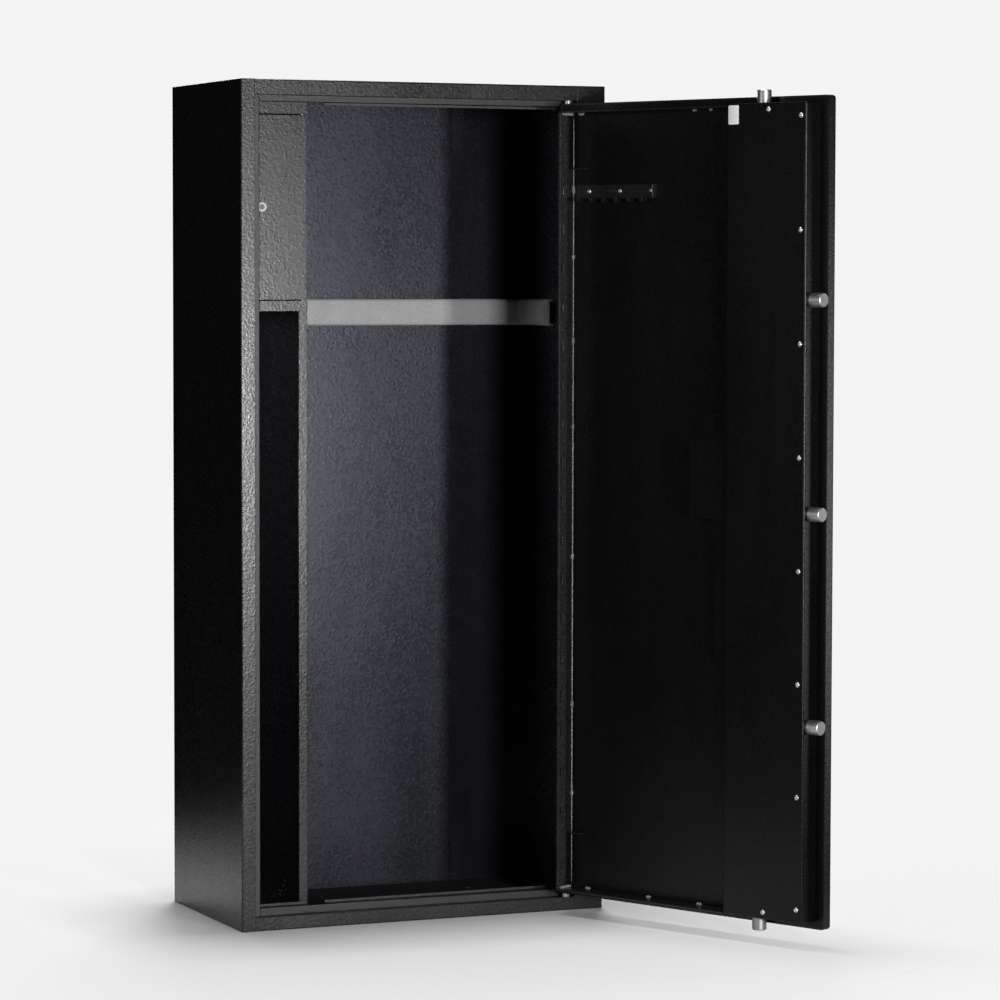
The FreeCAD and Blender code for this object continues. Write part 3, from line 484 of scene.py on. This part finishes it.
def screws(name, mesh, spots, old):
    """Copies of a screw in the door, each turned by chance, in one piece."""
    bm = bmesh.new()
    facing = inward.to_track_quat("Z", "Y").to_matrix()
    for x, depth, z in spots:
        turn = Matrix.Rotation(draw.uniform(0, math.tau), 3, "Z")
        place = Matrix.Translation(on_door(x, depth, z)) @ (facing @ turn).to_4x4()
        copy = mesh.copy()
        copy.transform(place)
        bm.from_mesh(copy)
        bpy.data.meshes.remove(copy)
    return finished(name, bm, ZINC, "screw_zinc", "main_door", old)


COVER_FACE, LEAF = 0.060, 0.021    # how deep the lock cover's and the inner sheet's faces are
EDGE_ROW_X, FIRST_SCREW_Z, SCREW_PITCH, EDGE_SCREWS = -0.2905, 0.069, 0.1946, 8
cover_spots = [(EDGE_ROW_X, COVER_FACE, FIRST_SCREW_Z + SCREW_PITCH * n) for n in range(EDGE_SCREWS)]
cover_spots += [(-0.220, COVER_FACE, 1.443), (-0.218, COVER_FACE, 0.057)]
cover_screw = screw_mesh(radius=0.0045, height=0.0024, shank=0.002, length=0.0078)
screws("cover_pan_screws", cover_screw, cover_spots, "cover_screws")
RAIL_THICK, RAIL_SCREW_Z = 0.0015, 1.309
rail_spots = [(x, LEAF + RAIL_THICK, RAIL_SCREW_Z) for x in (0.072, 0.144, 0.216)]
rail_screw = screw_mesh(radius=0.0040, height=0.0021, shank=0.002, length=0.0012)
screws("rail_pan_screws", rail_screw, rail_spots, "hook_rail_screws")


# The blank sticker.
def sticker(name, x_range, z_range, depth, corner, old):
    """A thin sheet with rounded corners, its face a little smaller than its back."""
    bm = bmesh.new()
    half_x, half_z = (x_range[1] - x_range[0]) / 2, (z_range[1] - z_range[0]) / 2
    mid_x, mid_z = sum(x_range) / 2, sum(z_range) / 2
    rings = []
    for layer, inset in ((0.00002, 0.0), (0.00016, 0.0), (0.00022, 0.00015)):
        ring = []
        for n in range(64):
            turn = math.tau * (n + 0.5) / 64
            cx = math.copysign(half_x - corner, math.cos(turn))
            cz = math.copysign(half_z - corner, math.sin(turn))
            x = cx + (corner - inset) * math.cos(turn)
            z = cz + (corner - inset) * math.sin(turn)
            ring.append(on_door(mid_x + x, depth + layer, mid_z + z))
        rings.append(ring)
    skin_rings(bm, rings)
    return finished(name, bm, PAPER, "label_white", "main_door", old)


sticker("blank_sticker", x_range=(-0.155, -0.1322), z_range=(1.419, 1.4518), depth=COVER_FACE,
        corner=0.0020, old="blank_label")


# Weld beads where the rims meet the door's inner face: lumpy, rippled and painted over, their coat coloured far
# lighter than the black coat as a painted highlight for their glints.
RIPPLE, RING_GAP, LONG_BEAD = 0.0022, 0.0006, 0.008


def bead(bm, start, end, radius, lump=0.35):
    """A rippled bead along a line, half sunk in the corner that it fills."""
    run = end - start
    length = run.length
    ahead = run.normalized()
    side = ahead.orthogonal().normalized()
    other = ahead.cross(side)
    steps = max(7, int(length / RING_GAP))
    blunt = 6 if length > LONG_BEAD else 2
    rings = []
    for n in range(steps + 1):
        at = n / steps
        taper = math.sqrt(max(0.02, 1 - (2 * at - 1) ** blunt))
        ripple = 0.10 * math.sin(math.tau * at * length / RIPPLE)
        centre = start + run * at
        ring = []
        for m in range(14):
            turn = math.tau * m / 14
            out = side * math.cos(turn) + other * math.sin(turn)
            swell = 1 + lump * noise.noise((centre + out * radius) * 260) + ripple
            ring.append(centre + out * radius * taper * swell)
        rings.append(ring)
    skin_rings(bm, rings)


RIM_INSIDE, RIM_TOP_UNDER, RIM_LOW_OVER = 0.255, 1.449, 0.047
SUNK, TACK, SMALL_TACK, SEAM = 0.0005, 0.0031, 0.0026, 0.0012
bm = bmesh.new()
# Tacks up the hinge-side rim.
for z, long in ((1.312, 0.016), (1.191, 0.008), (1.041, 0.011), (0.886, 0.008), (0.649, 0.010),
                (0.382, 0.011), (0.219, 0.009)):
    bead(bm, on_door(RIM_INSIDE - SUNK, LEAF + SUNK, z - long / 2),
         on_door(RIM_INSIDE - SUNK, LEAF + SUNK, z + long / 2), TACK)
# The thin seam beside them.
bead(bm, on_door(RIM_INSIDE - 0.0004, LEAF + 0.0002, RIM_LOW_OVER + 0.004),
     on_door(RIM_INSIDE - 0.0004, LEAF + 0.0002, RIM_TOP_UNDER - 0.004), SEAM, lump=0.2)
# Tacks along the top and the bottom rim.
for x, long in ((0.236, 0.012), (-0.026, 0.009), (-0.062, 0.008)):
    bead(bm, on_door(x - long / 2, LEAF + SUNK, RIM_TOP_UNDER - SUNK),
         on_door(x + long / 2, LEAF + SUNK, RIM_TOP_UNDER - SUNK), TACK)
for x, long in ((0.215, 0.012), (0.072, 0.010), (-0.045, 0.012)):
    bead(bm, on_door(x - long / 2, LEAF + SUNK, RIM_LOW_OVER + SUNK),
         on_door(x + long / 2, LEAF + SUNK, RIM_LOW_OVER + SUNK), SMALL_TACK)
# Beads out from the leaf, where the top and the bottom rim meet the hinge-side one.
for z in (RIM_TOP_UNDER - 0.0015, RIM_LOW_OVER + 0.0015):
    bead(bm, on_door(RIM_INSIDE - 0.0010, LEAF + 0.002, z),
         on_door(RIM_INSIDE - 0.0010, COVER_FACE - 0.004, z), SMALL_TACK)
finished("rim_weld_beads", bm, WELD, "powder_coat", "main_door")

# ---------------------------------------------------------------- floor, light and camera
FLOOR_SIZE, FLOOR_FADE = 1.8, (0.45, 1.4)
bpy.ops.mesh.primitive_plane_add(size=2 * FLOOR_SIZE, location=(0, 0, 0))
floor = bpy.context.object
floor.name = "studio_floor"
floor_paint = Paint("pale floor")
floor_paint.set(Base_Color=(0.83, 0.83, 0.83, 1), Roughness=0.9)
floor_paint.shader.inputs["Specular IOR Level"].default_value = 0.1
from_middle = floor_paint.add("ShaderNodeVectorMath", operation="LENGTH")
floor_paint.feed(from_middle.inputs[0], floor_paint.place)
floor_paint.set(Alpha=floor_paint.span(from_middle.outputs["Value"], *FLOOR_FADE, 1.0, 0.0))
dress(floor, floor_paint.material)

scene = bpy.context.scene
scene.view_settings.view_transform = "Standard"
world = bpy.data.worlds.new("studio")
scene.world = world
world.use_nodes = True
sky = world.node_tree
background = sky.nodes["Background"]
ROOM_LIGHT, BACKDROP = 0.004, 0.90    # what lights the safe, and what is seen behind it
seen = sky.nodes.new("ShaderNodeLightPath").outputs["Is Camera Ray"]
strength = sky.nodes.new("ShaderNodeMapRange")
sky.links.new(seen, strength.inputs["Value"])
strength.inputs["To Min"].default_value = ROOM_LIGHT
strength.inputs["To Max"].default_value = BACKDROP
sky.links.new(strength.outputs["Result"], background.inputs["Strength"])
background.inputs["Color"].default_value = (1, 1, 1, 1)


def softbox(name, place, target, size, power):
    """A rectangular light at a place, turned to a target."""
    lamp = bpy.data.lights.new(name, "AREA")
    lamp.shape = "RECTANGLE"
    lamp.size, lamp.size_y = size
    lamp.energy = power
    obj = bpy.data.objects.new(name, lamp)
    scene.collection.objects.link(obj)
    obj.location = place
    obj.rotation_euler = (Vector(target) - Vector(place)).to_track_quat("-Z", "Y").to_euler()


# Each light's place, what it looks at, its width and height, and its watts.
softbox("key", (0.98, -5.60, 0.72), (0.0, 0.0, 0.8), (0.36, 0.6), 112)
softbox("front", (-0.50, -6.2, 1.3), (0.0, 0.0, 0.8), (0.7, 0.9), 160)
softbox("overhead", (0.0, 0.2, 6.0), (0.0, 0.2, 0.0), (1.1, 1.1), 230)
softbox("fill", (-5.3, -1.9, 1.4), (0.3, -0.4, 0.8), (1.2, 1.8), 62)
softbox("side", (4.5, -1.7, 0.55), (0.5, -0.7, 0.7), (1.0, 1.3), 9)
softbox("rear", (2.2, 4.8, 1.6), (0.0, 0.0, 0.8), (2.4, 2.4), 260)

CAMERA_PLACE = (-2.648, -6.600, 1.165)
CAMERA_AZIMUTH, CAMERA_ELEVATION, CAMERA_ROLL = -23.52, 3.364, 0.123
LENS, SENSOR = 139.97, 36.0
camera = bpy.data.objects.new("camera", bpy.data.cameras.new("camera"))
scene.collection.objects.link(camera)
camera.data.lens, camera.data.sensor_width = LENS, SENSOR
azimuth, elevation = math.radians(CAMERA_AZIMUTH), math.radians(CAMERA_ELEVATION)
back = Vector((math.sin(azimuth) * math.cos(elevation), -math.cos(azimuth) * math.cos(elevation),
               math.sin(elevation)))
right = up.cross(back).normalized()
level_view = Matrix((right, back.cross(right), back)).transposed()
rolled_view = level_view @ Matrix.Rotation(math.radians(CAMERA_ROLL), 3, "Z")
camera.matrix_world = Matrix.Translation(CAMERA_PLACE) @ rolled_view.to_4x4()
scene.camera = camera
